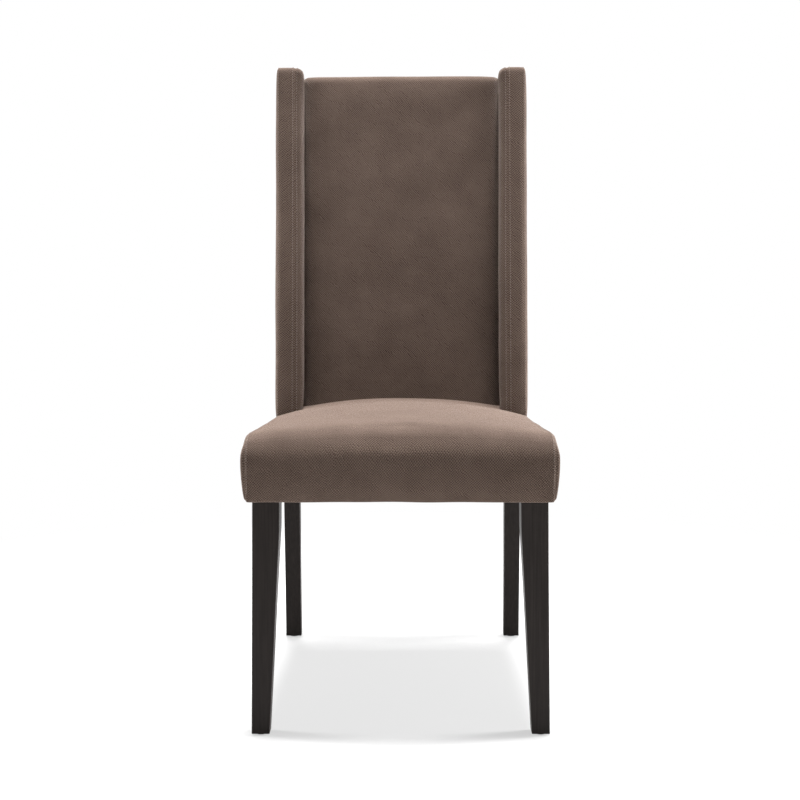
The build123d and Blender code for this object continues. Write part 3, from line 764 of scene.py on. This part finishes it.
def seat_points(box):
    """The seat's points after it is inflated, with its seams and its slightly uneven bottom edge."""
    flat_x, flat_y, flat_z = box.flat.T
    rim = box.flank & ((box.keys[:, 1] == 0) | (box.keys[:, 2] == box.last[2]))
    pins = np.where(rim, seam_pin, 0.0)
    pins[box.held] = 1
    points = cloth_points(seat_form(box), box.quads, pins, seat_pressure, seat_cap)
    points = drifted(points, box.quads, seat_drift * waves(points, wavelength=0.11, seed=3))
    inside = np.minimum(flat_y - box.low[1], box.high[2] - flat_z)
    distance = np.where(box.flank, inside, seat_half - np.abs(flat_x))
    points = grooved(box, points, distance, seat_groove)
    at_hem = np.clip(1 - (flat_z - box.low[2]) / hem_zone, 0, 1)
    points[:, 2] += hem_drift * waves(points * (1, 1, 0), wavelength=0.10, seed=5) * at_hem
    return points


def build_seat():
    """The seat's cover and its two side panels, inflated as one closed cushion."""
    box = seat_box()
    points = seat_points(box)
    faces = np.array([(axis == 0) * (1 if up else -1) for axis, up in box.sides])
    pieces = {
        "seat_top_cover": (0, wrap_uv, ("seat_cover", "seat_foam", "front_foam_strip")),
        "seat_side_left": (-1, panel_uv, ("seat_side_panel_left", "side_foam_strip_left")),
        "seat_side_right": (1, panel_uv, ("seat_side_panel_right", "side_foam_strip_right")),
    }
    for name, (face, uv_of, nodes) in pieces.items():
        obj = make_cover(name, box, points, np.flatnonzero(faces == face), uv_of)
        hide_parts(*nodes)
    normals = normals_of(points, box.quads)
    lowest = seat_low.z + seat_stitches_low
    end = raked_y(-wing_reach, seat_front_z) + seat_stitches_end
    for side, word in ((-1, "left"), (1, "right")):
        path = seam_path(box, side * (seat_half - stitch_side))
        path = path[(points[path, 2] > lowest) & (points[path, 1] < end)]
        stitches(f"seat_stitches_{word}", points[path], normals[path], seat_pitch)


def wing_seams():
    """The X places of a wing's inner and outer seams on its grid, before its nose is shifted."""
    width = wing_high[0] - wing_low[0]
    shown = (inner_high.x + band_low.x) / 2 + inner_seam_shift
    inner = (shown - wing_nose_shift * wing_high[0] / width) / (1 - wing_nose_shift / width)
    return inner, (outer_low.x + band_high.x) / 2


def wing_box(side):
    """A wing's grid, finer beside its seams, with its quads turned over for the left wing."""
    first, last = wing_low[0] + wing_margins[0], wing_high[0] - wing_margins[1]
    exact = [place for place in near_seam(wing_seams()) if first < place < last]
    box = Box(spaced(wing_low[0], wing_high[0], wing_cell, exact),
              *(spaced(wing_low[a], wing_high[a], wing_cell) for a in (1, 2)))
    if side < 0:
        box.quads = box.quads[:, ::-1]
    return box


def wing_form(box, side):
    """A wing's points before it is inflated, with its nose nearer to the middle than its root."""
    x, v, h = box.rounded(wing_low_radii, wing_high_radii).T
    inward = (box.high[0] - x) / (box.high[0] - box.low[0])
    x = x + wing_nose_shift * smooth_step((-v / wing_reach - wing_nose_start) / wing_nose_span) * inward
    # the inner face is hollow behind the nose
    hollow = smooth_step(-v / hollow_rear_zone)
    hollow = hollow * smooth_step((v + wing_reach - hollow_front_gap) / hollow_front_zone)
    x = x + wing_hollow * hollow * np.clip(inward * hollow_slope - hollow_offset, 0, 1)
    return np.stack([side * x, raked_y(v, h), h], axis=1)


def wing_points(box, side, inner, outer):
    """A wing's points after it is inflated, with its seams on the inner and the outer column."""
    keys = box.keys
    pins = np.where(np.isin(keys[:, 0], (inner, outer)), seam_pin, 0.0)
    pins[box.held] = 1
    pins[(keys[:, 2] >= box.last[2] - 1) & (keys[:, 0] > inner)] = 1
    points = cloth_points(wing_form(box, side), box.quads, pins, wing_pressure, wing_cap)
    drift = waves(points, wavelength=0.16, seed=11 if side > 0 else 12)
    points = drifted(points, box.quads, wing_drift * (1 + drift))
    for column, depth in ((inner, inner_groove), (outer, outer_groove)):
        points = grooved(box, points, abs(box.flat[:, 0] - box.places[0][column]), depth)
    return points


def build_wing(side):
    """One wing's three covers: the inner face, the front band and the outer face."""
    word = "right" if side > 0 else "left"
    box = wing_box(side)
    inner, outer = (box.column(place) for place in wing_seams())
    points = wing_points(box, side, inner, outer)
    middle = box.keys[box.quads][:, :, 0].mean(1)
    pieces = {
        "inner": (middle < inner, panel_uv, ("wing_inner_cover", "wing_foam")),
        "band": ((middle > inner) & (middle < outer), wrap_uv, ("wing_front_band",)),
        "outer": (middle > outer, panel_uv, ("wing_outer_cover",)),
    }
    for name, (chosen, uv_of, nodes) in pieces.items():
        obj = make_cover(f"wing_{name}_{word}", box, points, np.flatnonzero(chosen), uv_of)
        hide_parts(*(f"{node}_{word}" for node in nodes))
    normals = normals_of(points, box.quads)
    lowest = seat_front_z - wing_stitches_low
    for name, column, step in (("inner", inner, -stitch_side), ("band", inner, stitch_side),
                               ("outer", outer, stitch_side)):
        path = seam_path(box, box.places[0][column] + step)
        path = path[points[path, 2] > lowest]
        stitches(f"wing_stitches_{name}_{word}", points[path], normals[path], wing_pitch)


def build_back_pad():
    """The pad between the wings, with its cover turned over the top to the rear."""
    box = Box(*(spaced(pad_low[a], pad_high[a], pad_cell) for a in range(3)))
    x, v, h = box.rounded(pad_low_radii, pad_high_radii).T
    front = np.clip((box.high[1] - v) / (box.high[1] - box.low[1]), 0, 1)
    v = v - pad_bow * (1 - (x / pad_half) ** 2) * front
    # the sides roll back towards the posts, behind the wings' noses
    edge = np.clip((np.abs(x) - pad_half + pad_edge) / pad_edge, 0, 1)
    v = v + pad_sink * (1 - np.sqrt(1 - edge ** 2)) * front
    points = np.stack([x, raked_y(v, h), h], axis=1)
    pins = pad_edge_pin * (np.abs(x) > pad_half - 0.5 * pad_edge)
    pins[box.held | box.flank | (box.keys[:, 2] >= box.last[2] - 1)] = 1
    points = cloth_points(points, box.quads, pins, pad_pressure, pad_cap)
    points = drifted(points, box.quads, pad_drift * waves(points, wavelength=0.13, seed=21))
    obj = make_cover("back_pad", box, points, np.arange(len(box.quads)), wrap_uv)
    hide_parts("inside_back_cover", "back_pad_foam")


def build_outside_back():
    """The cloth behind the back, stretched over the board and down behind the seat."""
    low = np.array([back_low.x, 0.0, back_low.z])
    high = np.array([back_high.x, cover, back_high.z])
    box = Box(spaced(low[0], high[0], back_cell), np.array([0.0, cover / 2, cover]),
              spaced(low[2], high[2], back_cell, (bend,)))
    x, depth, h = box.rounded([back_radius] * 3, [back_radius] * 3).T
    # its top steps down from the wings to the pad
    between = 1 - smooth_step((np.abs(x) - wing_root_half + 0.5 * back_step) / back_step)
    top = smooth_step((h - high[2] + back_zone) / back_zone)
    h = h - (back_high.z - pad_cover_high.z) * between * top
    y = raked_y(back_depth - cover + depth, np.maximum(h, bend))
    puff = back_puff * waves(np.stack([x, h * 0, h], axis=1), wavelength=0.22, seed=31)
    inside = smooth_step((back_high.x - np.abs(x)) / back_zone)
    points = np.stack([x, y + np.abs(puff) * inside, h], axis=1)
    obj = make_cover("outside_back_sheet", box, points, np.arange(len(box.quads)), wrap_uv)
    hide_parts("outside_back_cover")


def at_post_or_leg(x, y):
    """Whether a place of the dust cloth is cut out for a leg or a post."""
    at_leg = y < left_leg_high.y and abs(x) > abs(left_leg_high.x)
    behind = y > rear_rail_low.y - post_clear
    return at_leg or (behind and abs(x) > abs(left_post_high.x) - post_side_clear)


def build_dust_cloth():
    """The thin felt under the seat, notched round the legs and sagging a little."""
    xs = spaced(dust_low.x, dust_high.x, dust_cell)
    ys = spaced(dust_low.y, dust_high.y, dust_cell)
    points = []
    for y in ys:
        for x in xs:
            away = min(x - dust_low.x, dust_high.x - x, y - dust_low.y, dust_high.y - y)
            sag = dust_sag * (1 - math.exp(-max(away, 0) / dust_zone))
            points.append((x, y, dust_high.z - dust_gap - sag))
    quads = []
    for row in range(len(ys) - 1):
        for column in range(len(xs) - 1):
            if not at_post_or_leg((xs[column] + xs[column + 1]) / 2, (ys[row] + ys[row + 1]) / 2):
                start = row * len(xs) + column
                quads.append((start, start + len(xs), start + len(xs) + 1, start + 1))
    obj = make_object("dust_cloth_sheet", np.array(points), np.array(quads),
                      finishes["dust_cloth"], levels=0)
    obj.modifiers.new("thickness", "SOLIDIFY").thickness = dust_thickness
    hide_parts("dust_cloth")


def finish_cad_nodes():
    """Gives each node of the frame the finish of its material slot, and softens the legs' edges."""
    slots = {row["node"]: row["material_slot"] for row in frame["record"]["subparts"]}
    for name, obj in frame["nodes"].items():
        obj.data.materials.clear()
        obj.data.materials.append(finishes[slots[name]])
        if name.startswith(("front_leg", "rear_leg")):
            bevel = obj.modifiers.new("edges", "BEVEL")
            bevel.width = leg_edge
            bevel.segments = 2
            bevel.angle_limit = leg_edge_angle


def seen_share(nodes):
    """1 on what the camera sees, also in a mirror or through glass, and 0 on what only gives light."""
    rays = nodes.add("ShaderNodeLightPath").outputs
    seen = nodes.maths("MAXIMUM", rays["Is Camera Ray"], rays["Is Glossy Ray"])
    return nodes.maths("MAXIMUM", seen, rays["Is Transmission Ray"])


def build_floor():
    """A pale floor whose shadows show, and which glows white further out."""
    shader = Shader("floor")
    seen = seen_share(shader)
    glow = shader.add("ShaderNodeEmission", Color=(1, 1, 1, 1), Strength=1.0)
    matt = shader.add("ShaderNodeBsdfDiffuse", Color=shader.mix(seen, floor_bounce, floor_seen))
    mixed = shader.add("ShaderNodeMixShader")
    away = shader.add("ShaderNodeVectorMath", {"operation": "LENGTH"})
    shader.feed(away.inputs[0], shader.add("ShaderNodeNewGeometry").outputs["Position"])
    glow_share = shader.span(away.outputs[1], glow_start, glow_end, floor_glow, 1.0)
    shader.feed(mixed.inputs[0], shader.maths("MULTIPLY", seen, glow_share))
    shader.feed(mixed.inputs[1], matt.outputs[0])
    shader.feed(mixed.inputs[2], glow.outputs[0])
    shader.feed(shader.tree.nodes["Material Output"].inputs["Surface"], mixed.outputs[0])
    corners = [(x * floor_half, y * floor_half, 0) for x, y in ((-1, -1), (1, -1), (1, 1), (-1, 1))]
    mesh = bpy.data.meshes.new("floor")
    mesh.from_pydata(corners, [], [(0, 1, 2, 3)])
    mesh.materials.append(shader.material)
    floor = bpy.data.objects.new("floor", mesh)
    scene.collection.objects.link(floor)


def build_world():
    """A white background, which lights the chair only a little."""
    scene.world = bpy.data.worlds.new("studio")
    scene.world.use_nodes = True
    nodes = Nodes(scene.world.node_tree)
    background = nodes.tree.nodes["Background"]
    nodes.feed(background.inputs["Color"], (1, 1, 1, 1))
    nodes.feed(background.inputs["Strength"], nodes.span(seen_share(nodes), 0.0, 1.0, ambient, 1.0))


def softbox(name, place, aim, size, power):
    """A rectangular area lamp that points at a place."""
    lamp = bpy.data.lights.new(name, "AREA")
    lamp.shape = "RECTANGLE"
    lamp.size, lamp.size_y = size
    lamp.energy = power
    obj = bpy.data.objects.new(name, lamp)
    obj.location = place
    obj.rotation_euler = (Vector(aim) - Vector(place)).to_track_quat("-Z", "Y").to_euler()
    scene.collection.objects.link(obj)


def build_camera():
    """The camera of the front view, a little above the seat and tilted down."""
    camera = bpy.data.cameras.new("camera")
    camera.lens = camera_lens
    camera.sensor_width = camera_sensor
    obj = bpy.data.objects.new("camera", camera)
    obj.location = camera_place
    aim = Euler((math.radians(90 - camera_pitch), 0, math.radians(camera_yaw))).to_quaternion()
    obj.rotation_mode = "QUATERNION"
    obj.rotation_quaternion = aim @ Quaternion((0, 0, 1), math.radians(camera_roll))
    scene.collection.objects.link(obj)
    scene.camera = obj


build_camera()
build_seat()
for wing_side in (-1, 1):
    build_wing(wing_side)
build_back_pad()
build_outside_back()
build_dust_cloth()
finish_cad_nodes()
build_floor()
build_world()
for lamp_values in lamps:
    softbox(*lamp_values)
scene.view_settings.view_transform = "Standard"
